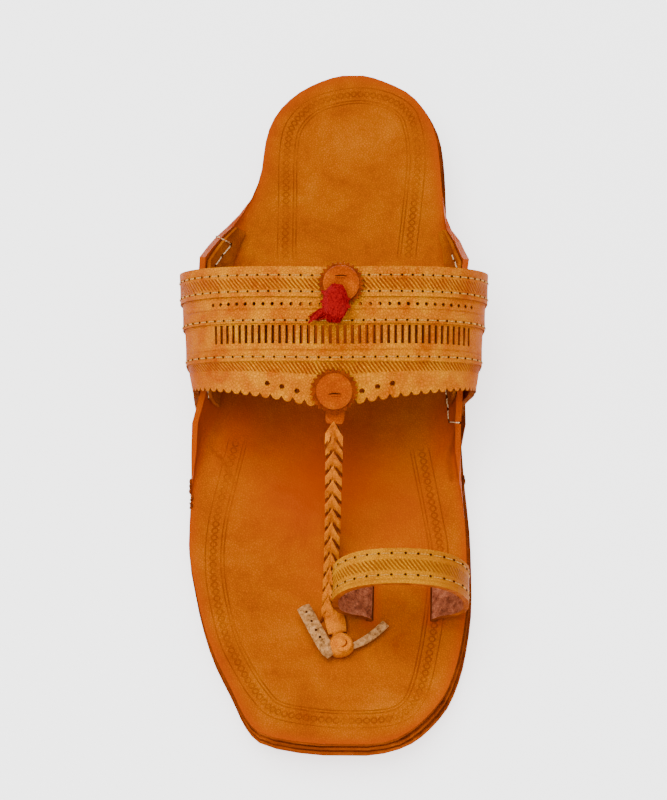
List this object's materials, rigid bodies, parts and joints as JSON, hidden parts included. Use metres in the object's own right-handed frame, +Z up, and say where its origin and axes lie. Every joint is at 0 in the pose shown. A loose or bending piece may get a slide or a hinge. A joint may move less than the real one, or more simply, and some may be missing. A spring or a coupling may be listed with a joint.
{
  "type": "sandal",
  "caption": "Open leather sandal for the right foot, with an instep strap, a toe loop, a braided thong, two rosettes, a wool tuft and a low stacked heel.",
  "frame": {"origin": "on the floor under the middle of the sandal's bounding box", "axes": "+Z up, the toe points to -Y and the heel to +Y, +X is the big toe's side"},
  "size_m": [0.1156, 0.2774, 0.086],
  "materials": {
    "insole": "smooth vegetable-tanned leather, oiled, satin",
    "strap": "oiled tan leather, tooled and stitched, satin",
    "loop": "oiled golden leather, tooled, satin",
    "sole_edge": "stacked leather with stained cut edges, matt",
    "lining": "pale yellow leather, matt",
    "rawhide": "undyed rawhide thong, matt",
    "wool": "dyed red wool, matt"
  },
  "bodies": {
    "root": {"outsole": "sole_edge", "midsole": "sole_edge", "heel_lift_upper": "sole_edge", "heel_lift_lower": "sole_edge", "insole": "insole", "ear_facing_lateral": "insole", "ear_facing_medial": "insole", "upper": "strap", "rosette_front_ring": "strap", "rosette_front_disc": "strap", "rosette_rear_ring": "strap", "rosette_rear_disc": "strap", "toe_loop": "loop", "braid": "strap", "thong_knot": "strap", "tail_lateral": "rawhide", "tail_medial": "rawhide", "pompom": "wool", "tongue_tip": "lining"}
  },
  "joints": []
}
